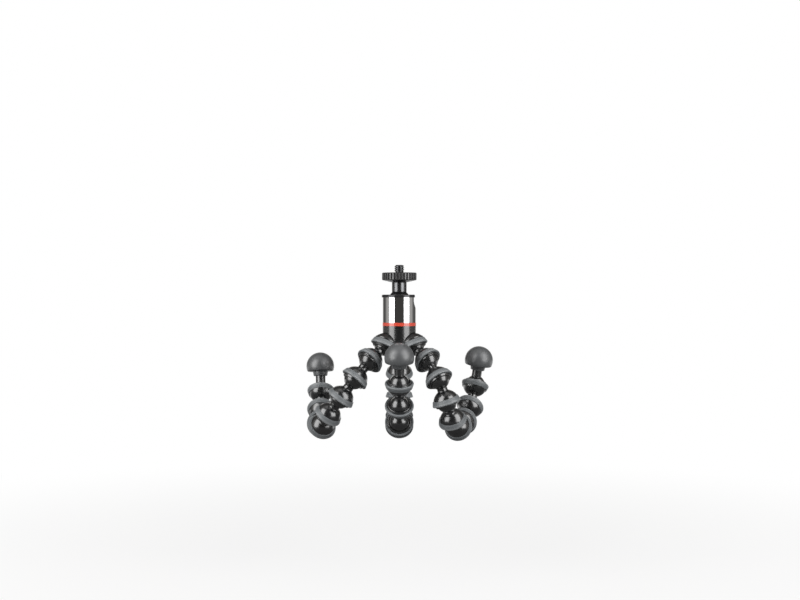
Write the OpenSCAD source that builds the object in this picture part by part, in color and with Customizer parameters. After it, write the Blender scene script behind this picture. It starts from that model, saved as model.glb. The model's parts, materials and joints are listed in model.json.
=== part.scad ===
// Flexible leg tripod: a small notched ball head on a hub with three ball-jointed legs,
// shown wrapped round a rail. Millimetres, +Z up, origin at the middle of the camera seat.

/* [Camera stud and lock wheel] */
// Thread diameter of the camera stud (quarter inch)
stud_d = 6.35; // [5.5:0.05:8]
// Height of the stud above the camera seat
stud_h = 5; // [4:0.1:8]
// Diameter of the journal that the lock wheel turns on
journal_d = 7.4; // [7:0.1:8.4]
// Diameter of the lock wheel over its ribs
wheel_d = 22.4; // [18:0.1:28]
// Height of the ribbed rim of the lock wheel
wheel_rim_h = 4.9; // [4:0.1:8]
// Height of the cone under the rim
wheel_cone_h = 1.4; // [1:0.1:3]
// Number of grip ribs round the rim
wheel_ribs = 34; // [24:1:36]
// Diameter of the round grooves between the ribs
groove_d = 1.3; // [0.8:0.1:1.6]
// Depth of the round recess for the friction pad in the top of the wheel
pad_recess = 0.5; // [0.3:0.1:1]
// Width of the metal rim left outside the pad recess
pad_rim = 1.5; // [1:0.1:3]

/* [Ball head] */
// Diameter of the stem between the wheel and the ball
stem_d = 9.5; // [8.6:0.1:10]
// Length of the stem from the wheel to the ball
stem_len = 6.4; // [5.9:0.1:10]
// Diameter of the head ball
head_ball_d = 14; // [13.4:0.1:14.4]
// Diameter of the spindle that the stem turns on inside the ball
spindle_d = 5; // [4:0.1:6]
// Diameter of the collar that holds the ball down
collar_d = 22.8; // [22:0.1:24]
// Height of the collar's flange
collar_h = 1.8; // [1.4:0.1:2.4]
// How far the ball's centre lies under the top of the collar
ball_sink = 3.6; // [3:0.1:4]
// Outer diameter of the polished sleeve
sleeve_d = 21.6; // [21.2:0.1:22]
// Height of the polished sleeve
sleeve_h = 16.3; // [15:0.1:20]
// Wall of the polished sleeve
sleeve_wall = 1.7; // [1.4:0.1:2]
// Width of the drop notch that lets the stem lie down sideways
notch_w = 10.8; // [10.6:0.1:11.4]
// Height of the coloured ring under the sleeve
accent_h = 2.1; // [1.5:0.1:3]
// Outer diameter of the coloured ring
accent_d = 21.8; // [21.2:0.1:22.4]
// Thickness of the disc spring under the ball seat
spring_t = 0.8; // [0.5:0.1:1.2]

/* [Hub] */
// Diameter of the hub where it carries the coloured ring
hub_d = 21.6; // [21:0.1:22.4]
// Height of the hub's skirt
skirt_h = 11.6; // [10:0.1:13]
// Distance of each leg socket from the hub's axis
socket_out = 11; // [10.8:0.1:12]
// Height from the top of the hub down to the middle of the leg sockets
socket_down = 12.7; // [12.3:0.1:14]
// Angle between each leg socket's axis and the vertical
socket_splay = 27; // [24:1:30]
// Gap between the skirt's arches and the sockets that show through them
arch_gap = 0.35; // [0.3:0.05:0.8]

/* [Leg links] */
// Distance from a link's ball to its socket
pitch = 15.3; // [15:0.1:16]
// Diameter of a link's ball
ball_d = 13.2; // [12.6:0.1:13.4]
// Diameter of the neck behind the ball
neck_d = 6.6; // [6:0.1:6.8]
// Wall of a link's socket
socket_wall = 1.5; // [1.3:0.1:1.8]
// Half angle of the socket's mouth, seen from the ball's centre
mouth_angle = 70.5; // [69.5:0.5:72]
// Height of the small flare where the neck leaves the ball
ball_flare = 0.2; // [0.1:0.05:0.25]
// Height of the larger flare where the neck meets the dome
dome_flare = 0.8; // [0.4:0.1:1]
// Bevel round the lip of a socket
lip_bevel = 0.3; // [0.1:0.05:0.4]

/* [Grip rings] */
// Diameter of a rubber ring at its crest
ring_d = 18.4; // [17.8:0.1:18.6]
// Width of a rubber ring
ring_w = 3.6; // [3:0.1:4]
// How far the ring's face lies past the middle of the socket
ring_front = 1; // [0.6:0.1:1.2]
// Diameter of a ring at its narrow back edge
ring_back_d = 16.6; // [16.4:0.1:17.4]
// Radius of the crest's rounded edge
crest_r = 0.7; // [0.4:0.1:0.8]

/* [Feet] */
// Diameter of a rubber foot
foot_d = 18.8; // [17:0.1:19.4]
// Distance from a foot's ball to the middle of its rubber tip
foot_reach = 16.9; // [16.4:0.1:17.4]
// How far the flat under the rubber tip lies from its middle
foot_flat = 3.4; // [3:0.1:4]
// Bevel round the flat of a foot
foot_bevel = 0.8; // [0.4:0.1:1.2]
// Diameter of the rubber collar between a foot's flat and its neck
foot_collar_d = 10.2; // [9:0.1:11]
// Height of that collar
foot_collar_h = 3.2; // [2.6:0.1:3.4]
// Diameter of the flange that anchors the stud in the rubber
anchor_d = 9; // [7.6:0.1:10]

/* [Fits] */
// Radial gap of every ball in its socket
ball_gap = 0.12; // [0.08:0.01:0.2]
// Radial gap of every running journal
run_gap = 0.06; // [0.03:0.01:0.1]
// Gap between pieces that sit fast on each other
seat_gap = 0.05; // [0.02:0.01:0.08]

/* [Hidden] */
$fn = 64;
link_count = 8;
leg_names = ["left", "right", "back"];
// Direction of each leg's socket round the hub, from the front
leg_azimuth = [-60, 60, 180];
// The two front legs set off towards the viewer and the back leg away
leg_side = [-1, -1, 1];
// Heading of each link of a leg from the hub to the foot, chosen by hand: [turn, lean] in
// degrees, where turn 0 is straight down and goes round the rail, and lean runs along it
leg_pose = [
    [[40, -38], [18, -38], [-6, -36], [-28, -33], [-56, -17], [-91, -7], [-122, -3], [-140, -2], [-172, -2]],
    [[44, 34], [33, 27], [-3, 18], [-33, 16], [-68, 16], [-99, 15], [-130, 20], [-158, 14], [-187, 8]],
    [[64, 0], [30, 0], [-4, 0], [-39, 0], [-69, 0], [-104, 0], [-136, 0], [-160, 0], [-171, 0]],
];

head_names = ["chrome_sleeve", "accent_ring", "hub", "hub_grip_rings", "ball_seat", "top_collar",
    "head_ball", "ball_stem", "lock_wheel"];
link_names = [for (leg = [0:2]) for (k = [1:link_count]) str(leg_names[leg], "_link_", k)];
ring_names = [for (leg = [0:2]) for (k = [1:link_count]) str(leg_names[leg], "_grip_ring_", k)];
foot_names = [for (leg = [0:2]) str(leg_names[leg], "_foot")];

// Small cuts reach this far past the faces that they open
over = 1;
chamfer = 0.4;
// Gap between the collar's lip and the head ball
lip_gap = 0.25;
// Thickness of the flange that anchors a foot's stud
flange_t = 1.5;

// Heights on the head's axis, from the camera seat down
wheel_h = wheel_rim_h + wheel_cone_h;
head_ball_r = head_ball_d / 2;
stem_r = stem_d / 2;
ball_z = -wheel_h - stem_len - slice_r(head_ball_r, stem_r);
collar_top = ball_z + ball_sink;
sleeve_top = collar_top - collar_h;
sleeve_bottom = sleeve_top - sleeve_h;
hub_top = sleeve_bottom - accent_h;
socket_z = hub_top - socket_down;
bore_r = sleeve_d / 2 - sleeve_wall;
collar_skirt = 1;
seat_top = sleeve_top - collar_skirt - seat_gap;
seat_floor = 3.2;
seat_bottom = ball_z - head_ball_r - ball_gap - seat_floor;
spring_h = 2 * spring_t;
spigot_top = seat_bottom - spring_h;

// Sizes of the ball joints in the legs
ball_r = ball_d / 2;
neck_r = neck_d / 2;
socket_r = ball_r + ball_gap;
dome_r = socket_r + socket_wall;
mouth_z = socket_r * cos(mouth_angle);
ring_back = ring_front - ring_w;
ring_seat_r = slice_r(dome_r, ring_back) - seat_gap;
lip_r = ring_seat_r - seat_gap;
lip_taper = 0.3;

// Radius at which a height cuts a sphere
function slice_r(radius, height) = sqrt(pow(radius, 2) - pow(height, 2));
function heading(leg, k) = let (turn = leg_pose[leg][k - 1][0], lean = leg_pose[leg][k - 1][1])
    [sin(lean), leg_side[leg] * cos(lean) * sin(turn), -cos(lean) * cos(turn)];
function socket_axis(leg) = let (az = leg_azimuth[leg])
    [sin(az) * sin(socket_splay), -cos(az) * sin(socket_splay), -cos(socket_splay)];
function socket_centre(leg) = let (az = leg_azimuth[leg])
    [socket_out * sin(az), -socket_out * cos(az), socket_z];
function joint_centre(leg, k) = k == 1 ? socket_centre(leg)
    : joint_centre(leg, k - 1) + pitch * heading(leg, k - 1);

// Moves the shape's own origin to a point and turns its +Z along a direction
module aim(point, direction) {
    translate(point)
        rotate([0, acos(direction[2]), atan2(direction[1], direction[0])])
            children();
}

// The slot that the stem drops into, open to the top and to +X
module drop_notch() {
    reach = collar_d;
    translate([0, 0, ball_z])
        rotate([0, 90, 0])
            cylinder(d = notch_w, h = reach);
    translate([0, -notch_w / 2, ball_z])
        cube([reach, notch_w, ball_sink + over]);
}

// A ball with its neck, pointing along +Z, with the neck running to the given height
module ball_and_neck(height) {
    neck_z = slice_r(ball_r, neck_r) - ball_flare;
    sphere(ball_r);
    cylinder(r = neck_r, h = height);
    translate([0, 0, neck_z])
        cylinder(r1 = slice_r(ball_r, neck_z), r2 = neck_r, h = 2 * ball_flare);
}

// The flare of a neck into the dome of a socket, seen from the socket's middle
module neck_into_dome() {
    dome_z = slice_r(dome_r, neck_r) - dome_flare;
    translate([0, 0, -dome_z - 2 * dome_flare])
        cylinder(r1 = neck_r, r2 = slice_r(dome_r, dome_z), h = 2 * dome_flare);
}

// Outside of a socket: dome behind, ring seat in the middle, lip in front, mouth towards +Z
module socket_outside() {
    intersection() {
        sphere(dome_r);
        translate([0, 0, -2 * dome_r + ring_back])
            cylinder(r = 2 * dome_r, h = 2 * dome_r);
    }
    translate([0, 0, ring_back - over])
        cylinder(r = ring_seat_r, h = ring_front - ring_back + over);
    translate([0, 0, ring_front])
        cylinder(r1 = lip_r, r2 = lip_r - lip_taper, h = mouth_z - lip_bevel - ring_front);
    translate([0, 0, mouth_z - lip_bevel])
        cylinder(r1 = lip_r - lip_taper, r2 = lip_r - lip_taper - lip_bevel, h = lip_bevel);
}

// Space for the ball and the swing of its neck
module socket_inside() {
    sphere(socket_r);
    translate([0, 0, mouth_z])
        cylinder(r = socket_r, h = dome_r);
}

// Rubber ring on a socket, with a rounded crest towards the mouth and a taper to the back
module grip_ring() {
    crest_x = ring_d / 2 - crest_r;
    crest_y = ring_front - crest_r;
    rise = atan2(ring_d / 2 - ring_back_d / 2, crest_y - ring_back);
    rotate_extrude()
        polygon(concat(
            [[ring_seat_r + seat_gap, ring_back], [ring_back_d / 2, ring_back]],
            [for (a = [-rise:(90 + rise) / 6:90 + 0.01])
                [crest_x + crest_r * cos(a), crest_y + crest_r * sin(a)]],
            [[ring_seat_r + seat_gap, ring_front]]));
}

module lock_wheel() {
    rim_r = wheel_d / 2;
    cone_r = stem_r + chamfer;
    color("#1b1c1d")
        difference() {
            rotate_extrude()
                polygon([
                    [journal_d / 2 + run_gap, -wheel_h + run_gap], [cone_r, -wheel_h + run_gap],
                    [rim_r - chamfer, -wheel_rim_h], [rim_r, -wheel_rim_h + chamfer],
                    [rim_r, -chamfer], [rim_r - chamfer, 0], [rim_r - pad_rim, 0],
                    [rim_r - pad_rim, -pad_recess], [journal_d / 2 + pad_rim, -pad_recess],
                    [journal_d / 2 + pad_rim, 0], [journal_d / 2 + run_gap, 0],
                ]);
            for (n = [0:wheel_ribs - 1])
                rotate([0, 0, n * 360 / wheel_ribs])
                    translate([rim_r + groove_d / 8, 0, -wheel_rim_h - over])
                        cylinder(d = groove_d, h = wheel_rim_h + 2 * over, $fn = 24);
        }
}

// Stem with its camera stud above, the wheel's journal and the spindle that sits in the ball
module ball_stem() {
    spindle_h = head_ball_r * 1.5;
    color("#202224")
        union() {
            difference() {
                translate([0, 0, ball_z])
                    cylinder(d = stem_d, h = -wheel_h - ball_z);
                translate([0, 0, ball_z])
                    sphere(head_ball_r + seat_gap);
            }
            translate([0, 0, ball_z + head_ball_r - spindle_h])
                cylinder(d = spindle_d, h = spindle_h);
            translate([0, 0, -wheel_h - over])
                cylinder(d = journal_d, h = wheel_h + over);
            cylinder(d = stud_d, h = stud_h - chamfer);
            translate([0, 0, stud_h - chamfer])
                cylinder(d1 = stud_d, d2 = stud_d - 2 * chamfer, h = chamfer);
        }
}

module head_ball() {
    spindle_h = head_ball_r * 1.5;
    color("#17181a")
        translate([0, 0, ball_z])
            difference() {
                sphere(head_ball_r);
                translate([0, 0, head_ball_r - spindle_h - run_gap])
                    cylinder(d = spindle_d + 2 * run_gap, h = spindle_h + over);
            }
}

// Flange over the ball, with a short skirt that enters the sleeve
module top_collar() {
    mouth_r = slice_r(head_ball_r, ball_sink) + lip_gap;
    throat_r = slice_r(head_ball_r, sleeve_top - ball_z) + lip_gap;
    color("#1a1b1c")
        difference() {
            rotate_extrude()
                polygon([
                    [throat_r, sleeve_top], [bore_r - seat_gap - collar_skirt, sleeve_top],
                    [bore_r - seat_gap - collar_skirt, sleeve_top - collar_skirt],
                    [bore_r - seat_gap, sleeve_top - collar_skirt],
                    [bore_r - seat_gap, sleeve_top],
                    [collar_d / 2, sleeve_top], [collar_d / 2, collar_top - chamfer],
                    [collar_d / 2 - chamfer, collar_top], [mouth_r, collar_top],
                ]);
            drop_notch();
        }
}

module chrome_sleeve() {
    color("#d9dbdc")
        difference() {
            translate([0, 0, sleeve_bottom])
                cylinder(d = sleeve_d, h = sleeve_h);
            translate([0, 0, sleeve_bottom - over])
                cylinder(r = bore_r, h = sleeve_h + 2 * over);
            drop_notch();
        }
}

// Friction cup round the lower half of the ball, on its disc spring
module ball_seat() {
    outer_r = bore_r - seat_gap;
    color("#e4e2dc") {
        difference() {
            translate([0, 0, seat_bottom])
                cylinder(r = outer_r, h = seat_top - seat_bottom);
            translate([0, 0, ball_z])
                sphere(head_ball_r + ball_gap);
            translate([0, 0, ball_z])
                cylinder(r = head_ball_r + ball_gap, h = head_ball_d);
            drop_notch();
        }
        rotate_extrude()
            polygon([
                [outer_r - spring_t, spigot_top + seat_gap], [outer_r, spigot_top + seat_gap],
                [outer_r / 2 + spring_t, seat_bottom - seat_gap], [outer_r / 2, seat_bottom - seat_gap],
            ]);
    }
}

module accent_ring() {
    color("#e8553f")
        translate([0, 0, hub_top])
            difference() {
                cylinder(d = accent_d, h = accent_h);
                translate([0, 0, -over])
                    cylinder(r = bore_r + seat_gap, h = accent_h + 2 * over);
            }
}

// Spigot for the sleeve, arched skirt, and three leg sockets that grow out of the middle
module hub() {
    core_r = socket_out - socket_r + socket_wall;
    color("#2b2d2f")
        difference() {
            union() {
                translate([0, 0, hub_top - over])
                    cylinder(r = bore_r - seat_gap, h = spigot_top - hub_top + over);
                difference() {
                    union() {
                        difference() {
                            translate([0, 0, hub_top - skirt_h])
                                cylinder(d = hub_d, h = skirt_h);
                            for (leg = [0:2])
                                translate(socket_centre(leg))
                                    sphere(dome_r + arch_gap);
                        }
                        translate([0, 0, socket_z])
                            cylinder(r = core_r, h = hub_top - socket_z);
                    }
                    for (leg = [0:2])
                        aim(socket_centre(leg), socket_axis(leg))
                            translate([0, 0, ring_back - arch_gap])
                                cylinder(r = ring_d / 2 + arch_gap, h = skirt_h);
                }
                for (leg = [0:2])
                    aim(socket_centre(leg), socket_axis(leg))
                        socket_outside();
            }
            for (leg = [0:2])
                aim(socket_centre(leg), socket_axis(leg))
                    socket_inside();
        }
}

module hub_grip_rings() {
    color("#6a6f72")
        for (leg = [0:2])
            aim(socket_centre(leg), socket_axis(leg))
                grip_ring();
}

// One link: ball towards the hub, socket towards the foot
module leg_link(leg, k) {
    color("#232527")
        aim(joint_centre(leg, k), heading(leg, k))
            difference() {
                union() {
                    ball_and_neck(pitch - socket_r - socket_wall / 2);
                    translate([0, 0, pitch]) {
                        socket_outside();
                        neck_into_dome();
                    }
                }
                translate([0, 0, pitch])
                    socket_inside();
            }
}

module leg_grip_ring(leg, k) {
    color("#6a6f72")
        aim(joint_centre(leg, k + 1), heading(leg, k))
            grip_ring();
}

// Foot: a ball stud with an anchor flange, and the rubber tip with its collar moulded round it
module leg_foot(leg) {
    k = link_count + 1;
    stud_top = foot_reach + flange_t;
    flat_r = slice_r(foot_d / 2, foot_flat);
    aim(joint_centre(leg, k), heading(leg, k)) {
        color("#232527") {
            ball_and_neck(stud_top);
            translate([0, 0, foot_reach])
                cylinder(d = anchor_d, h = flange_t);
        }
        color("#4b4e50")
            difference() {
                union() {
                    difference() {
                        translate([0, 0, foot_reach])
                            sphere(d = foot_d);
                        translate([0, 0, foot_reach - foot_flat - foot_d])
                            cylinder(d = 2 * foot_d, h = foot_d);
                        translate([0, 0, foot_reach - foot_flat])
                            rotate_extrude()
                                polygon([[flat_r - foot_bevel, -over], [flat_r + 2 * foot_bevel, -over],
                                    [flat_r + 2 * foot_bevel, 3 * foot_bevel], [flat_r - foot_bevel, 0]]);
                    }
                    translate([0, 0, foot_reach - foot_flat - foot_collar_h])
                        cylinder(d1 = foot_collar_d - 2 * chamfer, d2 = foot_collar_d,
                            h = foot_collar_h + over);
                }
                cylinder(r = neck_r + seat_gap, h = stud_top + seat_gap);
                translate([0, 0, foot_reach - seat_gap])
                    cylinder(d = anchor_d + 2 * seat_gap, h = flange_t + 2 * seat_gap);
            }
    }
}

chrome_sleeve();
accent_ring();
hub();
hub_grip_rings();
ball_seat();
top_collar();
head_ball();
ball_stem();
lock_wheel();
for (leg = [0:2]) {
    for (k = [1:link_count]) {
        leg_link(leg, k);
        leg_grip_ring(leg, k);
    }
    leg_foot(leg);
}
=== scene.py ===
"""Looks of a small flexible tripod: ball-jointed legs with rubber grip rings, and a notched ball head."""
import json
import math

import bpy
from mathutils import Matrix, Vector


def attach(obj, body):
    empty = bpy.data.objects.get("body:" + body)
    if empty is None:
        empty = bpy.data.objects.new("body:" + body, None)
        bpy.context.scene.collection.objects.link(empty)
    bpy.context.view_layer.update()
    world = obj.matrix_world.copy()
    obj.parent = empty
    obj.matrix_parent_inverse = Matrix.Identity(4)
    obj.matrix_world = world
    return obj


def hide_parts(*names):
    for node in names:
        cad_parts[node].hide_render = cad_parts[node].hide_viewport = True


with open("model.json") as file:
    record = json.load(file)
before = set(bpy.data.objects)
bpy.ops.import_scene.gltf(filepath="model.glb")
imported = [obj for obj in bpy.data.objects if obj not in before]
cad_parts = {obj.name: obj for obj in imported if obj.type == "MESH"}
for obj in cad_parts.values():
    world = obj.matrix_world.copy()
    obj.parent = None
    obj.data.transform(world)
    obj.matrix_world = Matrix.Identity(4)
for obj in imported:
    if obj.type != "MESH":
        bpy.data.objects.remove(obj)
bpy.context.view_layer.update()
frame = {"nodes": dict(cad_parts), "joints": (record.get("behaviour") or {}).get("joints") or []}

MM = 0.001
UP = Vector((0, 0, 1))
LEGS = ("left", "right", "back")
LINKS = 8

# Sizes in millimetres. The forms have the sizes of the solids; the fine bevels and rounds are added here.
# Link: ball, neck, dome, socket and lip
PITCH = 15.3
BALL_R = 6.6
NECK_R = 3.3
BALL_FILLET = 0.3
DOME_FILLET = 0.9
SOCKET_R = 6.72
DOME_R = 8.22
MOUTH_Z = 2.243
LIP_R = 7.69
LIP_T = 1.0
LIP_ROUND = 0.35
# Grip ring and its seat on the link
RING_SEAT_R = 7.74
RING_SEAT_STEP = 0.02
RING_FIT = 0.05
RING_R = 9.2
RING_BACK_R = 8.3
RING_FRONT = 1.0
RING_BACK = -2.6
RING_ROUND = 0.7
RING_BACK_ROUND = 0.3
RING_BEVEL = (0.3, 0.25)
# Foot
FOOT_R = 9.4
FOOT_REACH = 16.9
FOOT_FLAT = 3.4
FOOT_EDGE = 0.8
FOOT_COLLAR_R = 5.1
FOOT_COLLAR_H = 3.2
FOOT_COLLAR_TAPER = 0.4
FOOT_COLLAR_ROUND = 0.4
FOOT_COLLAR_ROOT = 0.45
FOOT_HOLE_FIT = 0.05
FOOT_HOLE_BEVEL = 0.25
FOOT_STUD_DEPTH = 1.5
FOOT_HOLE_DEPTH = 1.6
# Camera stud with its thread
STUD_R = 3.175
STUD_H = 5.0
THREAD_PITCH = 1.27
THREAD_DEPTH = 0.69
THREAD_BEVEL = 0.7
THREAD_TIP = 0.35
# The thread's flank, in depths of the thread: its height at mid-ridge, cut flat at 1, and its fall per pitch
FLANK_PEAK, FLANK_FALL = 1.5, 3.4
# Stem, with the lock wheel's journal above it and the spindle below
JOURNAL_R = 3.7
JOURNAL_TOP = -0.05
JOURNAL_BEVEL = 0.2
STEM_R = 4.75
STEM_ROUND = 0.25
STEM_FOOT_BEVEL = (0.12, 0.15)
STEM_SEAT_FIT = 0.05
SPINDLE_R = 2.5
SPINDLE_BEVEL = 0.3
# Lock wheel, head ball, and the pad in the wheel's recess; heights count from the wheel's top face
WHEEL_H = 6.3
WHEEL_R = 11.2
HEAD_BALL_R = 7.0
BALL_Z = -17.842
PAD_RECESS = 0.5
PAD_RIM = 1.5
PAD_FIT = 0.06
PAD_GROOVE = -0.2
PAD_GROOVE_W = 0.2
PAD_TOP = -0.06
PAD_FOOT = 0.01
PAD_RIDGES = 5
# A radius under this is the axis itself
ON_AXIS = 1e-6
# Splay of the hub's sockets from straight down, and where each leg leaves the hub, in degrees from the front
SOCKET_SPLAY = 27
SOCKET_AZIMUTH = {"left": -60, "right": 60, "back": 180}
# Turn and lean of each foot, in degrees, and the way its leg sets off from the hub
FOOT_HEADING = {"left": (-172, -2, -1), "right": (-187, 8, -1), "back": (-171, 0, 1)}
# Each link sits turned this far from the one before it, so no two show the same side of their mould
TWIST_STEP = 137


def arc(r_mid, z_mid, radius, start, stop, steps):
    """Round stretch of a lathe profile; angles in degrees, 0 points down the axis and 90 outwards."""
    angles = [math.radians(start + (stop - start) * n / steps) for n in range(steps + 1)]
    return [(r_mid + radius * math.sin(a), z_mid - radius * math.cos(a)) for a in angles]


def solid_mesh(name, verts, faces, sharp=32):
    """Smooth-shaded mesh with its sharper edges kept crisp."""
    mesh = bpy.data.meshes.new(name)
    mesh.from_pydata(verts, [], faces)
    mesh.shade_smooth()
    mesh.set_sharp_from_angle(angle=math.radians(sharp))
    mesh.update()
    return mesh


def lathe(name, profile, closed=False, turns=96, sharp=32):
    """Turns a profile of (radius, height) points in millimetres about +Z into a smooth mesh."""
    verts, rows = [], []
    for r, z in profile:
        if r < ON_AXIS:
            rows.append([len(verts)] * turns)
            verts.append((0, 0, z * MM))
            continue
        rows.append(list(range(len(verts), len(verts) + turns)))
        for n in range(turns):
            a = 2 * math.pi * n / turns
            verts.append((r * MM * math.cos(a), r * MM * math.sin(a), z * MM))
    pairs = list(zip(rows, rows[1:])) + ([(rows[-1], rows[0])] if closed else [])
    faces = []
    for low, high in pairs:
        for n in range(turns):
            m = (n + 1) % turns
            corners = [low[n], low[m], high[m], high[n]]
            face = [c for i, c in enumerate(corners) if c not in corners[:i]]
            if len(face) > 2:
                faces.append(face)
    return solid_mesh(name, verts, faces, sharp)


def facing(point, direction, twist=0):
    """Placement of a piece whose own +Z points along a direction, turned about it by a twist in degrees."""
    turned = UP.rotation_difference(direction).to_matrix().to_4x4()
    return Matrix.Translation(point) @ turned @ Matrix.Rotation(math.radians(twist), 4, "Z")


def add_piece(name, mesh, finish, body, place=None, stands_for=None):
    """Adds a piece that rides on a body; stands_for names the solid that it is shown instead of."""
    piece = bpy.data.objects.new(name, mesh)
    bpy.context.scene.collection.objects.link(piece)
    if not mesh.materials:
        mesh.materials.append(finish)
    if place is not None:
        piece.matrix_world = place
    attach(piece, body)
    if stands_for:
        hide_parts(stands_for)


def ball_and_neck():
    """Ball from its pole to the start of the neck, with the fillet between them."""
    mid_r = NECK_R + BALL_FILLET
    mid_z = math.sqrt((BALL_R + BALL_FILLET) ** 2 - mid_r ** 2)
    end = 180 - math.degrees(math.atan2(mid_r, mid_z))
    return arc(0, 0, BALL_R, 0, end, 24) + arc(mid_r, mid_z, BALL_FILLET, end - 180, -90, 5)[1:]


def link_profile():
    """Ball, neck, dome, lip and the hollow of the socket, from the ball's pole to the hollow's floor."""
    mid_r = NECK_R + DOME_FILLET
    rise = math.sqrt((DOME_R + DOME_FILLET) ** 2 - mid_r ** 2)
    dome_start = math.degrees(math.atan2(mid_r, rise))
    dome_end = math.degrees(math.acos(-RING_BACK / DOME_R))
    mouth = 180 - math.degrees(math.acos(MOUTH_Z / SOCKET_R))
    points = ball_and_neck()
    points += arc(mid_r, PITCH - rise, DOME_FILLET, 270, 180 + dome_start, 6)
    points += arc(0, PITCH, DOME_R, dome_start, dome_end, 16)[1:]
    points += [(RING_SEAT_R, PITCH + RING_BACK + RING_SEAT_STEP)]
    points += [(RING_SEAT_R, PITCH + RING_FRONT - RING_SEAT_STEP), (LIP_R, PITCH + RING_FRONT)]
    points += arc(LIP_R - LIP_T + LIP_ROUND, PITCH + MOUTH_Z - LIP_ROUND, LIP_ROUND, 80, 180, 6)
    points += arc(0, PITCH, SOCKET_R, mouth, 0, 20)
    return points


def ring_profile():
    """Rubber ring with a rounded crest and a taper to its back edge."""
    inner = RING_SEAT_R + RING_FIT
    back = RING_BACK_R - RING_BEVEL[1]
    points = [(inner, RING_BACK), (back, RING_BACK)]
    points += arc(back, RING_BACK + RING_BACK_ROUND, RING_BACK_ROUND, 10, 70, 4)
    points += arc(RING_R - RING_ROUND, RING_FRONT - RING_ROUND, RING_ROUND, 70, 180, 10)
    points += [(inner + RING_BEVEL[0], RING_FRONT), (inner, RING_FRONT - RING_BEVEL[1])]
    return points


def foot_tip_profile():
    """Rubber tip: the hole for the stud, a collar on the neck, a flat with a rounded edge, and the ball."""
    edge_z = FOOT_FLAT - FOOT_EDGE
    edge_r = math.sqrt((FOOT_R - FOOT_EDGE) ** 2 - edge_z ** 2)
    start = math.degrees(math.atan2(edge_r, edge_z))
    hole, hole_end = NECK_R + FOOT_HOLE_FIT, FOOT_REACH + FOOT_HOLE_DEPTH
    flat = FOOT_REACH - FOOT_FLAT
    collar = flat - FOOT_COLLAR_H
    collar_r = FOOT_COLLAR_R - FOOT_COLLAR_TAPER
    points = [(0, hole_end), (hole, hole_end)]
    points += [(hole, collar + FOOT_HOLE_BEVEL), (hole + FOOT_HOLE_BEVEL, collar)]
    points += arc(collar_r - FOOT_COLLAR_ROUND, collar + FOOT_COLLAR_ROUND, FOOT_COLLAR_ROUND, 0, 85, 5)
    points += arc(FOOT_COLLAR_R + FOOT_COLLAR_ROOT, flat - FOOT_COLLAR_ROOT, FOOT_COLLAR_ROOT, 275, 180, 5)
    points += arc(edge_r, FOOT_REACH - edge_z, FOOT_EDGE, 0, start, 6)
    points += arc(0, FOOT_REACH, FOOT_R, start, 180, 40)[1:]
    return points


def foot_stud_profile():
    """Ball and neck of a foot's stud, up to its seat in the rubber."""
    end = FOOT_REACH + FOOT_STUD_DEPTH
    return ball_and_neck() + [(NECK_R, end), (0, end)]


def stem_profile():
    """Spindle in the ball, hollow foot that sits on the ball, stem, and the journal for the lock wheel."""
    seat = HEAD_BALL_R + STEM_SEAT_FIT
    from_deg = 180 - math.degrees(math.asin(SPINDLE_R / seat))
    to_deg = 180 - math.degrees(math.asin((STEM_R - STEM_FOOT_BEVEL[0]) / seat))
    foot = BALL_Z - HEAD_BALL_R / 2
    points = [(0, foot), (SPINDLE_R - SPINDLE_BEVEL, foot), (SPINDLE_R, foot + SPINDLE_BEVEL)]
    points += arc(0, BALL_Z, seat, from_deg, to_deg, 8)
    points += [(STEM_R, points[-1][1] + STEM_FOOT_BEVEL[1])]
    points += arc(STEM_R - STEM_ROUND, -WHEEL_H - STEM_ROUND, STEM_ROUND, 90, 180, 5)
    points += [(JOURNAL_R, -WHEEL_H), (JOURNAL_R, JOURNAL_TOP - JOURNAL_BEVEL)]
    return points + [(JOURNAL_R - JOURNAL_BEVEL, JOURNAL_TOP), (0, JOURNAL_TOP)]


def pad_profile():
    """Thin rubber ring with round ridges, in the recess of the lock wheel."""
    inner, outer = JOURNAL_R + PAD_RIM + PAD_FIT, WHEEL_R - PAD_RIM - PAD_FIT
    step = (outer - inner) / PAD_RIDGES
    under = PAD_FOOT - PAD_RECESS
    points = [(outer, under), (outer, PAD_GROOVE)]
    for n in range(PAD_RIDGES):
        points += arc(outer - step * (n + 0.5), PAD_GROOVE, (step - PAD_GROOVE_W) / 2, 90, 270, 6)
    points = [(r, min(z, PAD_TOP)) for r, z in points]
    return points + [(inner, PAD_GROOVE), (inner, under)]


def thread_mesh(name):
    """Camera thread: one helical ridge on a core, with a bevelled tip and a relief at its foot."""
    turns, steps = 72, 16
    count = int(STUD_H / THREAD_PITCH * steps)
    verts, faces = [], []
    for row in range(count + 1):
        z = STUD_H * row / count
        for n in range(turns):
            along = (z / THREAD_PITCH - n / turns) % 1.0
            ridge = min(max(FLANK_PEAK - FLANK_FALL * abs(along - 0.5), 0.0), 1.0)
            relief = min(z / THREAD_PITCH, 1.0)
            bevel = min((STUD_H - z) / THREAD_BEVEL, 1.0)
            r = STUD_R - THREAD_DEPTH * (1 - ridge * relief * bevel)
            r -= max(0.0, THREAD_TIP - (STUD_H - z))
            a = 2 * math.pi * n / turns
            verts.append((r * MM * math.cos(a), r * MM * math.sin(a), z * MM))
    for row in range(count):
        for n in range(turns):
            m = (n + 1) % turns
            faces.append([row * turns + n, row * turns + m, (row + 1) * turns + m, (row + 1) * turns + n])
    low, high = len(verts), len(verts) + 1
    verts += [(0, 0, 0), (0, 0, STUD_H * MM)]
    top = count * turns
    for n in range(turns):
        m = (n + 1) % turns
        faces += [[low, m, n], [high, top + n, top + m]]
    return solid_mesh(name, verts, faces, sharp=50)


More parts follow.
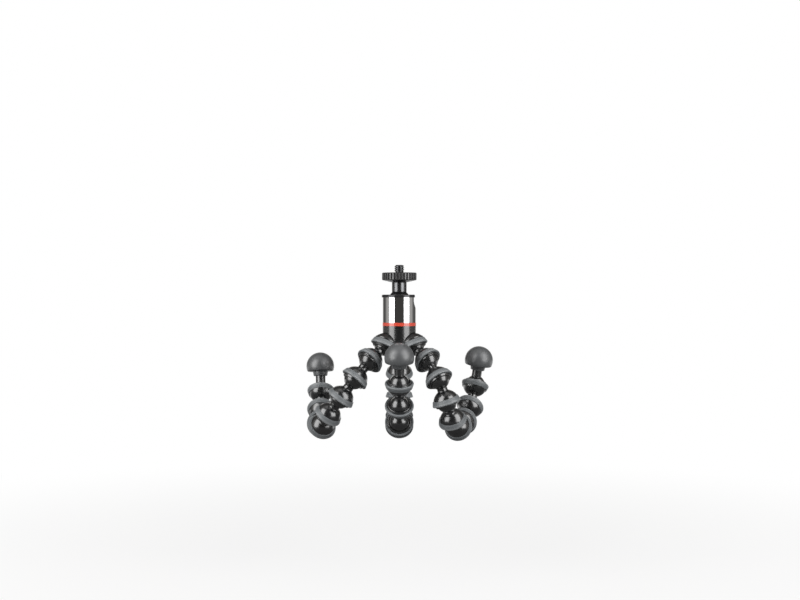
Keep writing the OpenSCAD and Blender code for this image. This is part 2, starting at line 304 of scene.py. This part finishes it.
def new_group(name, inputs, outputs):
    """Node group with number sockets; inputs are pairs of a label and a value."""
    group = bpy.data.node_groups.new(name, "ShaderNodeTree")
    for label, value in inputs:
        socket = group.interface.new_socket(label, in_out="INPUT", socket_type="NodeSocketFloat")
        socket.default_value = value
    for label in outputs:
        group.interface.new_socket(label, in_out="OUTPUT", socket_type="NodeSocketFloat")
    nodes = group.nodes
    return group, nodes, group.links, nodes.new("NodeGroupInput"), nodes.new("NodeGroupOutput")


def calc(nodes, links, operation, first, second=None, clamp=False):
    """A Math node; each operand is a number or a socket."""
    node = nodes.new("ShaderNodeMath")
    node.operation = operation
    node.use_clamp = clamp
    for slot, value in zip(node.inputs, (first, second)):
        if isinstance(value, (int, float)):
            slot.default_value = value
        elif value is not None:
            links.new(value, slot)
    return node.outputs[0]


def noise(nodes, links, vector, scale, detail=4.0, rough=0.55):
    """Noise from 0 to 1; the scale is a number or a socket."""
    node = nodes.new("ShaderNodeTexNoise")
    node.inputs["Detail"].default_value = detail
    node.inputs["Roughness"].default_value = rough
    links.new(vector, node.inputs["Vector"])
    if isinstance(scale, (int, float)):
        node.inputs["Scale"].default_value = scale
    else:
        links.new(scale, node.inputs["Scale"])
    return node.outputs["Fac"]


def cut_above(nodes, links, value, level, steepness):
    """Mask that is 0 up to a level and then rises to 1."""
    above = calc(nodes, links, "SUBTRACT", value, level)
    return calc(nodes, links, "MULTIPLY", above, steepness, clamp=True)


def own_place(nodes):
    """Coordinates of the piece itself, in metres."""
    return nodes.new("ShaderNodeTexCoord").outputs["Object"]


def stretched(nodes, links, vector, scale, turn=(0, 0, 0)):
    """Coordinates scaled on each axis and then turned, in radians."""
    node = nodes.new("ShaderNodeMapping")
    node.inputs["Rotation"].default_value = turn
    node.inputs["Scale"].default_value = scale
    links.new(vector, node.inputs["Vector"])
    return node.outputs["Vector"]


def make_moulded_skin():
    """Fine pebble of a mould's skin with broader, softer waves; height about 0 to 1."""
    group, nodes, links, given, made = new_group(
        "moulded_skin", [("Grain per metre", 6000.0), ("Waves per metre", 240.0)], ["Height", "Patches"])
    place = own_place(nodes)
    grain = noise(nodes, links, place, given.outputs[0], 3.0)
    waves = noise(nodes, links, place, given.outputs[1], 2.0, 0.5)
    links.new(calc(nodes, links, "ADD", grain, waves), made.inputs["Height"])
    links.new(waves, made.inputs["Patches"])
    return group


def make_handling_marks():
    """Smudges and thin hairline scuffs from hands and bags, as masks from 0 to 1."""
    group, nodes, links, given, made = new_group(
        "handling_marks", [("Smudges per metre", 110.0), ("Scuffs per metre", 900.0)], ["Smudge", "Scuff"])
    place = own_place(nodes)
    smudge = noise(nodes, links, place, given.outputs[0], 5.0, 0.6)
    links.new(cut_above(nodes, links, smudge, level=0.42, steepness=3.2), made.inputs["Smudge"])
    streaks = stretched(nodes, links, place, (1.0, 0.06, 1.0), (0.5, 0.3, 0.8))
    lines = noise(nodes, links, streaks, given.outputs[1], 2.0, 0.5)
    links.new(cut_above(nodes, links, lines, level=0.66, steepness=9.0), made.inputs["Scuff"])
    return group


def make_parting_line():
    """Faint raised line where the two halves of a mould met, on the plane across a piece's own X."""
    group, nodes, links, given, made = new_group("parting_line", [("Half width", 0.00009)], ["Line"])
    split = nodes.new("ShaderNodeSeparateXYZ")
    links.new(own_place(nodes), split.inputs[0])
    off = calc(nodes, links, "DIVIDE", calc(nodes, links, "ABSOLUTE", split.outputs["X"]), given.outputs[0])
    links.new(calc(nodes, links, "SUBTRACT", 1.0, off, clamp=True), made.inputs["Line"])
    return group


# Patches per metre on the lighter crests, which are partly real wear and partly painted highlight, and the
# share of the lightening that is there between them
CREST_PATCHES, CREST_LEAST = 420.0, 0.35


def make_crest_wear_and_sheen():
    """Mask that grows outwards from a piece's own Z axis, for crests made lighter: partly real wear where
    they rub, partly painted highlight and sheen.
    """
    group, nodes, links, given, made = new_group(
        "crest_wear_and_sheen", [("Start radius", 0.0088), ("Full radius", 0.0092)], ["Worn"])
    place = own_place(nodes)
    length = nodes.new("ShaderNodeVectorMath")
    length.operation = "LENGTH"
    links.new(stretched(nodes, links, place, (1, 1, 0)), length.inputs[0])
    grow = nodes.new("ShaderNodeMapRange")
    links.new(length.outputs["Value"], grow.inputs["Value"])
    links.new(given.outputs[0], grow.inputs["From Min"])
    links.new(given.outputs[1], grow.inputs["From Max"])
    patchy = calc(nodes, links, "ADD", noise(nodes, links, place, CREST_PATCHES), CREST_LEAST, clamp=True)
    links.new(calc(nodes, links, "MULTIPLY", grow.outputs["Result"], patchy), made.inputs["Worn"])
    return group


def make_turning_lines():
    """Fine rings that a lathe tool leaves round a turned piece; height about 0 to 1."""
    group, nodes, links, given, made = new_group("turning_lines", [("Lines per metre", 5200.0)], ["Height"])
    rings = stretched(nodes, links, own_place(nodes), (0.012, 0.012, 1.0))
    links.new(noise(nodes, links, rings, given.outputs[0], 2.0, 0.6), made.inputs["Height"])
    return group


# Roughness that a scuff adds on plastic and on chrome, and that a rubbed crest of rubber loses
PLASTIC_SCUFF, CHROME_SCUFF, RUBBED_SHINE = 0.12, 0.08, 0.12
# Spread of the roughness over rubber and over turned metal
RUBBER_SPREAD, METAL_SPREAD = 0.14, 0.1
# Height of a parting line, in heights of the mould's grain
PARTING_HEIGHT = 9.0
# Depth of the tool's rings on turned and polished metal, in metres
POLISH_DEPTH = 0.0000004
# The hub's skirt, clean and handled, and the duller black of its domes
SKIRT_CLEAN, SKIRT_HANDLED = (0.005, 0.0054, 0.006), (0.0075, 0.008, 0.0086)
DOME_BLACK = (0.0035, 0.0037, 0.004)
SKIRT_GLOSS, SKIRT_RELIEF = (0.22, 0.28), 0.0000025
# Start value for the nearest socket's distance, in metres, past any point of the hub
FARTHEST = 1.0
# How far past a dome its black goes, in millimetres, and the roughness it adds
DOME_MARGIN, DOME_DULLNESS = 0.15, 0.2
# Polished metal, clean and breathed on, and how rough it is there
CHROME_CLEAN, CHROME_BREATHED_ON = (0.83, 0.84, 0.85), (0.78, 0.785, 0.79)
CHROME_GLOSS = (0.045, 0.085)

MOULDED_SKIN = make_moulded_skin()
HANDLING_MARKS = make_handling_marks()
PARTING_LINE = make_parting_line()
CREST_WEAR_AND_SHEEN = make_crest_wear_and_sheen()
TURNING_LINES = make_turning_lines()


def finish(name, **plain):
    """A material with its Principled shader's plain values set; returns what the surface detail needs."""
    material = bpy.data.materials.new(name)
    material.use_nodes = True
    nodes, links = material.node_tree.nodes, material.node_tree.links
    shader = nodes["Principled BSDF"]
    for label, value in plain.items():
        shader.inputs[label.replace("_", " ")].default_value = value
    return material, nodes, links, shader


def place_group(nodes, group, **values):
    """A node group in a material, with its plain values set."""
    node = nodes.new("ShaderNodeGroup")
    node.node_tree = group
    for label, value in values.items():
        node.inputs[label.replace("_", " ")].default_value = value
    return node


def tint(nodes, links, mask, dark, light):
    """Colour that runs from dark to light with a mask; each end is a colour or a socket."""
    mix = nodes.new("ShaderNodeMix")
    mix.data_type = "RGBA"
    for end, colour in (("A", dark), ("B", light)):
        slot = next(s for s in mix.inputs if s.name == end and s.type == "RGBA")
        if isinstance(colour, tuple):
            slot.default_value = (*colour, 1)
        else:
            links.new(colour, slot)
    links.new(mask, mix.inputs["Factor"])
    return next(s for s in mix.outputs if s.type == "RGBA")


def bump(nodes, links, height, shader, depth):
    """Fine relief; depth is in metres for a height of 1."""
    node = nodes.new("ShaderNodeBump")
    node.inputs["Strength"].default_value = 1.0
    node.inputs["Distance"].default_value = depth
    links.new(height, node.inputs["Height"])
    links.new(node.outputs["Normal"], shader.inputs["Normal"])


def ramp(nodes, links, mask, low, high):
    """Number that runs from low to high with a mask."""
    node = nodes.new("ShaderNodeMapRange")
    node.inputs["To Min"].default_value = low
    node.inputs["To Max"].default_value = high
    links.new(mask, node.inputs["Value"])
    return node.outputs["Result"]


def moulded_plastic(name, dark, light, gloss, spread, relief, parted=False, **plain):
    """Moulded plastic; smudges take its colour from dark to light and its roughness up by a spread."""
    material, nodes, links, shader = finish(name, **plain)
    skin = place_group(nodes, MOULDED_SKIN, Grain_per_metre=7000.0, Waves_per_metre=260.0)
    marks = place_group(nodes, HANDLING_MARKS)
    links.new(tint(nodes, links, marks.outputs["Smudge"], dark, light), shader.inputs["Base Color"])
    rough = ramp(nodes, links, marks.outputs["Smudge"], gloss, gloss + spread)
    scuff = calc(nodes, links, "MULTIPLY", marks.outputs["Scuff"], PLASTIC_SCUFF)
    scuffed = calc(nodes, links, "ADD", rough, scuff)
    links.new(scuffed, shader.inputs["Roughness"])
    height = skin.outputs["Height"]
    if parted:
        line = place_group(nodes, PARTING_LINE)
        seam = calc(nodes, links, "MULTIPLY", line.outputs["Line"], PARTING_HEIGHT)
        height = calc(nodes, links, "ADD", height, seam)
    bump(nodes, links, height, shader, relief)
    return material


def hub_charcoal(socket_centres):
    """Glossy charcoal skirt; the domes round the leg sockets are a duller black."""
    material, nodes, links, shader = finish(
        "hub_charcoal", Specular_IOR_Level=0.8, Coat_IOR=1.6, Coat_Roughness=0.22)
    skin = place_group(nodes, MOULDED_SKIN, Grain_per_metre=5200.0, Waves_per_metre=180.0)
    marks = place_group(nodes, HANDLING_MARKS)
    place = own_place(nodes)
    nearest = FARTHEST
    for centre in socket_centres:
        gap = nodes.new("ShaderNodeVectorMath")
        gap.operation = "DISTANCE"
        gap.inputs[1].default_value = centre
        links.new(place, gap.inputs[0])
        nearest = calc(nodes, links, "MINIMUM", gap.outputs["Value"], nearest)
    dome = calc(nodes, links, "LESS_THAN", nearest, (DOME_R + DOME_MARGIN) * MM)
    skirt = tint(nodes, links, marks.outputs["Smudge"], SKIRT_CLEAN, SKIRT_HANDLED)
    links.new(tint(nodes, links, dome, skirt, DOME_BLACK), shader.inputs["Base Color"])
    satin = ramp(nodes, links, marks.outputs["Smudge"], *SKIRT_GLOSS)
    dull = calc(nodes, links, "MULTIPLY", dome, DOME_DULLNESS)
    links.new(calc(nodes, links, "ADD", satin, dull), shader.inputs["Roughness"])
    links.new(calc(nodes, links, "SUBTRACT", 1.0, dome), shader.inputs["Coat Weight"])
    bump(nodes, links, skin.outputs["Height"], shader, SKIRT_RELIEF)
    return material


def moulded_rubber(name, dark, light, worn_and_sheen, relief, crest, gloss, **plain):
    """Moulded rubber; crest gives the radii, in millimetres, between which it is lighter, partly rubbed and
    partly a painted sheen.
    """
    material, nodes, links, shader = finish(name, **plain)
    skin = place_group(nodes, MOULDED_SKIN, Grain_per_metre=4200.0, Waves_per_metre=150.0)
    marks = place_group(nodes, HANDLING_MARKS, Smudges_per_metre=160.0)
    crest_wear_and_light = place_group(nodes, CREST_WEAR_AND_SHEEN, Start_radius=crest[0] * MM, Full_radius=crest[1] * MM)
    body = tint(nodes, links, marks.outputs["Smudge"], dark, light)
    # The crest is paler: partly real rubbing, partly painted sheen where its band catches the light.
    links.new(tint(nodes, links, crest_wear_and_light.outputs["Worn"], body, worn_and_sheen), shader.inputs["Base Color"])
    rough = ramp(nodes, links, skin.outputs["Patches"], gloss, gloss + RUBBER_SPREAD)
    rubbed = calc(nodes, links, "MULTIPLY", crest_wear_and_light.outputs["Worn"], RUBBED_SHINE)
    links.new(calc(nodes, links, "SUBTRACT", rough, rubbed), shader.inputs["Roughness"])
    bump(nodes, links, skin.outputs["Height"], shader, relief)
    return material


def polished_chrome():
    """Bright plated metal with faint polishing rings, smudges and hairline scuffs."""
    material, nodes, links, shader = finish("polished_chrome", Metallic=1.0)
    marks = place_group(nodes, HANDLING_MARKS, Smudges_per_metre=90.0, Scuffs_per_metre=1400.0)
    colour = tint(nodes, links, marks.outputs["Smudge"], CHROME_CLEAN, CHROME_BREATHED_ON)
    links.new(colour, shader.inputs["Base Color"])
    rough = ramp(nodes, links, marks.outputs["Smudge"], *CHROME_GLOSS)
    scuff = calc(nodes, links, "MULTIPLY", marks.outputs["Scuff"], CHROME_SCUFF)
    scuffed = calc(nodes, links, "ADD", rough, scuff)
    links.new(scuffed, shader.inputs["Roughness"])
    polish = place_group(nodes, TURNING_LINES, Lines_per_metre=9000.0)
    bump(nodes, links, polish.outputs["Height"], shader, POLISH_DEPTH)
    return material


def black_turned_metal(name, dark, bare_and_lit, gloss, metal, crest=None):
    """Black finish on turned metal, with the tool's rings and scuffs that show paler bare metal; crest gives
    radii painted paler as a highlight on rib crests, which leaves the grooves looking shaded.
    """
    material, nodes, links, shader = finish(name, Metallic=metal)
    lines = place_group(nodes, TURNING_LINES)
    marks = place_group(nodes, HANDLING_MARKS, Smudges_per_metre=140.0, Scuffs_per_metre=1200.0)
    colour = tint(nodes, links, marks.outputs["Scuff"], dark, bare_and_lit)
    if crest:
        # Painted highlight: the crests between these radii turn paler, so the grooves between them read as
        # shaded.
        crest_wear_and_light = place_group(nodes, CREST_WEAR_AND_SHEEN, Start_radius=crest[0] * MM, Full_radius=crest[1] * MM)
        colour = tint(nodes, links, crest_wear_and_light.outputs["Worn"], colour, bare_and_lit)
    links.new(colour, shader.inputs["Base Color"])
    rough = ramp(nodes, links, marks.outputs["Smudge"], gloss, gloss + METAL_SPREAD)
    links.new(rough, shader.inputs["Roughness"])
    bump(nodes, links, lines.outputs["Height"], shader, POLISH_DEPTH)
    return material


def joint_points(leg):
    """Centres of a leg's balls, from the hub's socket to the foot."""
    found = {j["name"]: Vector(j["pos_m"]) for j in frame["joints"]}
    return [found[f"{leg}_bend_{k}"] for k in range(1, LINKS + 2)]


def socket_direction(leg):
    """Way that one of the hub's sockets opens."""
    around, splay = math.radians(SOCKET_AZIMUTH[leg]), math.radians(SOCKET_SPLAY)
    return Vector((math.sin(around) * math.sin(splay), -math.cos(around) * math.sin(splay), -math.cos(splay)))


def foot_direction(leg):
    """Way from the ball of a foot's stud to the middle of its tip."""
    turn, lean, side = FOOT_HEADING[leg]
    turn, lean = math.radians(turn), math.radians(lean)
    return Vector((math.sin(lean), side * math.cos(lean) * math.sin(turn), -math.cos(lean) * math.cos(turn)))


link_plastic = moulded_plastic(
    "link_plastic", dark=(0.006, 0.0063, 0.007), light=(0.0095, 0.01, 0.0108), gloss=0.21, spread=0.1,
    relief=0.000002, parted=True,
    Specular_IOR_Level=1.0, Coat_Weight=1.0, Coat_IOR=1.55, Coat_Roughness=0.2)
hub_plastic = hub_charcoal([joint_points(leg)[0] for leg in LEGS])
accent_plastic = moulded_plastic(
    "accent_plastic", dark=(0.78, 0.08, 0.04), light=(0.70, 0.07, 0.036), gloss=0.26, spread=0.1,
    relief=0.000003, Specular_IOR_Level=0.7, Coat_Weight=0.8, Coat_Roughness=0.12)
seat_plastic = moulded_plastic(
    "seat_plastic", dark=(0.72, 0.70, 0.66), light=(0.64, 0.62, 0.58), gloss=0.45, spread=0.1,
    relief=0.000005)
# Each grip ring's crest is paler, partly from rubbing and partly as a painted sheen of its lit band.
grip_rubber = moulded_rubber(
    "grip_rubber", dark=(0.15, 0.161, 0.168), light=(0.175, 0.186, 0.193), worn_and_sheen=(0.25, 0.262, 0.27),
    relief=0.000014, crest=(RING_R - 0.4, RING_R), gloss=0.4, Specular_IOR_Level=0.6)
foot_rubber = moulded_rubber(
    "foot_rubber", dark=(0.078, 0.082, 0.086), light=(0.094, 0.098, 0.102), worn_and_sheen=(0.108, 0.112, 0.115),
    relief=0.000012, crest=(FOOT_R - 0.5, FOOT_R + 0.1), gloss=0.36,
    Specular_IOR_Level=1.0, Coat_Weight=0.4, Coat_Roughness=0.38)
pad_rubber = moulded_rubber(
    "pad_rubber", dark=(0.018, 0.018, 0.019), light=(0.026, 0.026, 0.027), worn_and_sheen=(0.034, 0.034, 0.035),
    relief=0.000012, crest=(WHEEL_R - PAD_RIM - 1, WHEEL_R - PAD_RIM), gloss=0.4, Specular_IOR_Level=0.55)
chrome = polished_chrome()
stem_black = black_turned_metal(
    "stem_black", dark=(0.14, 0.142, 0.146), bare_and_lit=(0.2, 0.2, 0.2), gloss=0.25, metal=1.0)
# The wheel's rib crests are painted pale as highlight, so its darker grooves read as painted shade.
wheel_black = black_turned_metal(
    "wheel_black", dark=(0.006, 0.006, 0.0064), bare_and_lit=(0.15, 0.15, 0.152), gloss=0.28, metal=0.4,
    crest=(WHEEL_R - 0.14, WHEEL_R - 0.02))
collar_black = black_turned_metal(
    "collar_black", dark=(0.06, 0.06, 0.062), bare_and_lit=(0.12, 0.12, 0.12), gloss=0.2, metal=0.7)
ball_black = black_turned_metal(
    "ball_black", dark=(0.008, 0.008, 0.0085), bare_and_lit=(0.03, 0.03, 0.03), gloss=0.24, metal=0.1)

link_mesh = lathe("leg_link", link_profile())
ring_mesh = lathe("grip_ring", ring_profile(), closed=True)
tip_mesh = lathe("foot_tip", foot_tip_profile())
foot_stud_mesh = lathe("foot_stud", foot_stud_profile())

for leg in LEGS:
    points = joint_points(leg)
    add_piece(f"{leg}_hub_rubber_ring", ring_mesh, grip_rubber, "hub",
              facing(points[0], socket_direction(leg)), "hub_grip_rings")
    for k in range(1, LINKS + 1):
        here, there = points[k - 1], points[k]
        along = (there - here).normalized()
        body = f"{leg}_link_{k}"
        add_piece(f"{leg}_leg_link_{k}", link_mesh, link_plastic, body,
                  facing(here, along, k * TWIST_STEP), body)
        add_piece(f"{leg}_rubber_ring_{k}", ring_mesh, grip_rubber, body,
                  facing(there, along, k * TWIST_STEP), f"{leg}_grip_ring_{k}")
    body = f"{leg}_foot"
    place = facing(points[-1], foot_direction(leg))
    add_piece(f"{leg}_foot_tip", tip_mesh, foot_rubber, body, place, body)
    add_piece(f"{leg}_foot_stud", foot_stud_mesh, link_plastic, body, place, body)

add_piece("turned_stem", lathe("turned_stem", stem_profile()), stem_black, "stem",
          stands_for="ball_stem")
add_piece("camera_thread", thread_mesh("camera_thread"), stem_black, "stem",
          stands_for="ball_stem")
add_piece("wheel_pad", lathe("wheel_pad", pad_profile(), closed=True), pad_rubber, "wheel")

for node, material in (("chrome_sleeve", chrome), ("accent_ring", accent_plastic), ("hub", hub_plastic),
                       ("ball_seat", seat_plastic), ("top_collar", collar_black), ("head_ball", ball_black),
                       ("lock_wheel", wheel_black)):
    solid = frame["nodes"][node]
    solid.data.materials.clear()
    solid.data.materials.append(material)


# Half the floor's side, and the distances in metres between which its shadow fades to plain white
FLOOR_HALF = 2.0
SHADOW_NEAR, SHADOW_FAR = 0.12, 0.6
# Share of the floor's own shading that the eye sees near the object
SHADOW_SHARE = 0.25
FLOOR_TO_EYE, FLOOR_TO_ROOM = (0.82, 0.82, 0.82), (0.14, 0.14, 0.14)
# How fast, per metre behind the object, the floor turns white to what shines
WHITE_BEHIND = 2.5
# Greys of the room that shiny things see, by place from 0, straight in front, to 1, straight behind
FRONT_GREY, BACK_GREY = (0.05, 0.048, 0.045, 1), (0.95, 0.95, 0.95, 1)
WALL_GREYS = ((0.36, 0.06), (0.4, 0.42), (0.55, 0.38), (0.63, 0.22), (0.71, 0.1), (0.9, 0.08), (0.97, 0.9))
WALL_WARMTH = (1.0, 0.97, 0.93)
# Name, azimuth, elevation, distance, width, height and power of each soft lamp
SOFTBOXES = (("left_softbox", -54, 22, 1.0, 0.75, 1.25, 10.8),
             ("right_softbox", 52, 22, 1.0, 0.75, 1.25, 10.8),
             ("top_softbox", 0, 80, 1.1, 0.7, 0.7, 0.6))
LAMP_AIM = Vector((0, 0, -0.05))
CAMERA_PLACE = (0.00045, -0.8, -0.0177)
LENS_MM, SENSOR_MM = 55.56, 36.0


def studio_floor(height):
    """Pale floor: plain white to the eye, with the object's soft shadow near it."""
    half = FLOOR_HALF
    corners = [(-half, -half, 0), (half, -half, 0), (half, half, 0), (-half, half, 0)]
    mesh = bpy.data.meshes.new("floor")
    mesh.from_pydata(corners, [], [(0, 1, 2, 3)])
    floor = bpy.data.objects.new("floor", mesh)
    bpy.context.scene.collection.objects.link(floor)
    floor.location = (0, 0, height)
    material = bpy.data.materials.new("pale_floor")
    material.use_nodes = True
    nodes, links = material.node_tree.nodes, material.node_tree.links
    nodes.clear()
    out = nodes.new("ShaderNodeOutputMaterial")
    length = nodes.new("ShaderNodeVectorMath")
    length.operation = "LENGTH"
    place = own_place(nodes)
    links.new(place, length.inputs[0])
    far = nodes.new("ShaderNodeMapRange")
    far.interpolation_type = "SMOOTHSTEP"
    far.inputs["From Min"].default_value = SHADOW_NEAR
    far.inputs["From Max"].default_value = SHADOW_FAR
    links.new(length.outputs["Value"], far.inputs["Value"])
    white = nodes.new("ShaderNodeEmission")
    white.inputs["Color"].default_value = (1, 1, 1, 1)
    dull = nodes.new("ShaderNodeBsdfDiffuse")
    light_path = nodes.new("ShaderNodeLightPath")
    eye = calc(nodes, links, "MAXIMUM", light_path.outputs["Is Camera Ray"],
               light_path.outputs["Is Transmission Ray"])
    links.new(tint(nodes, links, eye, FLOOR_TO_ROOM, FLOOR_TO_EYE), dull.inputs["Color"])
    close = calc(nodes, links, "SUBTRACT", 1.0, far.outputs["Result"])
    near = calc(nodes, links, "MULTIPLY", close, SHADOW_SHARE)
    to_eye = calc(nodes, links, "MULTIPLY", eye, calc(nodes, links, "SUBTRACT", 1.0, near))
    split = nodes.new("ShaderNodeSeparateXYZ")
    links.new(place, split.inputs[0])
    behind = calc(nodes, links, "MULTIPLY", split.outputs["Y"], WHITE_BEHIND, clamp=True)
    far_behind = calc(nodes, links, "MULTIPLY", far.outputs["Result"], behind)
    to_gloss = calc(nodes, links, "MULTIPLY", light_path.outputs["Is Glossy Ray"], far_behind)
    blend = nodes.new("ShaderNodeMixShader")
    links.new(calc(nodes, links, "MAXIMUM", to_eye, to_gloss), blend.inputs["Fac"])
    links.new(dull.outputs[0], blend.inputs[1])
    links.new(white.outputs[0], blend.inputs[2])
    under = nodes.new("ShaderNodeMixShader")
    links.new(nodes.new("ShaderNodeNewGeometry").outputs["Backfacing"], under.inputs["Fac"])
    links.new(blend.outputs[0], under.inputs[1])
    links.new(nodes.new("ShaderNodeBsdfTransparent").outputs[0], under.inputs[2])
    links.new(under.outputs[0], out.inputs["Surface"])
    mesh.materials.append(material)


def studio_world():
    """White behind the object; what shines also sees a dim room in front and grey walls at the sides."""
    world = bpy.data.worlds.new("studio")
    bpy.context.scene.world = world
    world.use_nodes = True
    nodes, links = world.node_tree.nodes, world.node_tree.links
    nodes.clear()
    out = nodes.new("ShaderNodeOutputWorld")
    room = nodes.new("ShaderNodeBackground")
    white = nodes.new("ShaderNodeBackground")
    white.inputs["Color"].default_value = (1, 1, 1, 1)
    split = nodes.new("ShaderNodeSeparateXYZ")
    links.new(nodes.new("ShaderNodeTexCoord").outputs["Generated"], split.inputs[0])
    depth = calc(nodes, links, "MULTIPLY", calc(nodes, links, "ADD", split.outputs["Y"], 1.0), 0.5)
    walls = nodes.new("ShaderNodeValToRGB")
    stops = walls.color_ramp.elements
    stops[0].position, stops[0].color = 0.0, FRONT_GREY
    stops[1].position, stops[1].color = 1.0, BACK_GREY
    for place, grey in WALL_GREYS:
        stop = stops.new(place)
        stop.color = (*(grey * warmth for warmth in WALL_WARMTH), 1)
    links.new(depth, walls.inputs["Fac"])
    links.new(walls.outputs["Color"], room.inputs["Color"])
    blend = nodes.new("ShaderNodeMixShader")
    light_path = nodes.new("ShaderNodeLightPath")
    eye = calc(nodes, links, "MAXIMUM", light_path.outputs["Is Camera Ray"],
               light_path.outputs["Is Transmission Ray"])
    links.new(eye, blend.inputs["Fac"])
    links.new(room.outputs[0], blend.inputs[1])
    links.new(white.outputs[0], blend.inputs[2])
    links.new(blend.outputs[0], out.inputs["Surface"])


def softbox(name, azimuth, elevation, distance, wide, tall, energy):
    """Large soft lamp that looks at the object; azimuth 0 is in front, positive to the right."""
    lamp = bpy.data.lights.new(name, "AREA")
    lamp.shape = "RECTANGLE"
    lamp.size, lamp.size_y, lamp.energy = wide, tall, energy
    light = bpy.data.objects.new(name, lamp)
    bpy.context.scene.collection.objects.link(light)
    a, e = math.radians(azimuth), math.radians(elevation)
    back = Vector((math.sin(a) * math.cos(e), -math.cos(a) * math.cos(e), math.sin(e)))
    light.location = LAMP_AIM + back * distance
    light.rotation_mode = "QUATERNION"
    light.rotation_quaternion = (-back).to_track_quat("-Z", "Y")


# The floor lies low enough for a leg that hangs straight down from its socket
hanging_leg = LINKS * PITCH + FOOT_REACH + FOOT_R
studio_floor(joint_points("left")[0].z - hanging_leg * MM)
studio_world()
for lamp_values in SOFTBOXES:
    softbox(*lamp_values)

camera_data = bpy.data.cameras.new("camera")
camera_data.sensor_width = SENSOR_MM
camera_data.lens = LENS_MM
camera = bpy.data.objects.new("camera", camera_data)
bpy.context.scene.collection.objects.link(camera)
camera.location = CAMERA_PLACE
camera.rotation_euler = (math.radians(90), 0, 0)
bpy.context.scene.camera = camera
bpy.context.scene.view_settings.view_transform = "Standard"

bpy.context.view_layer.update()
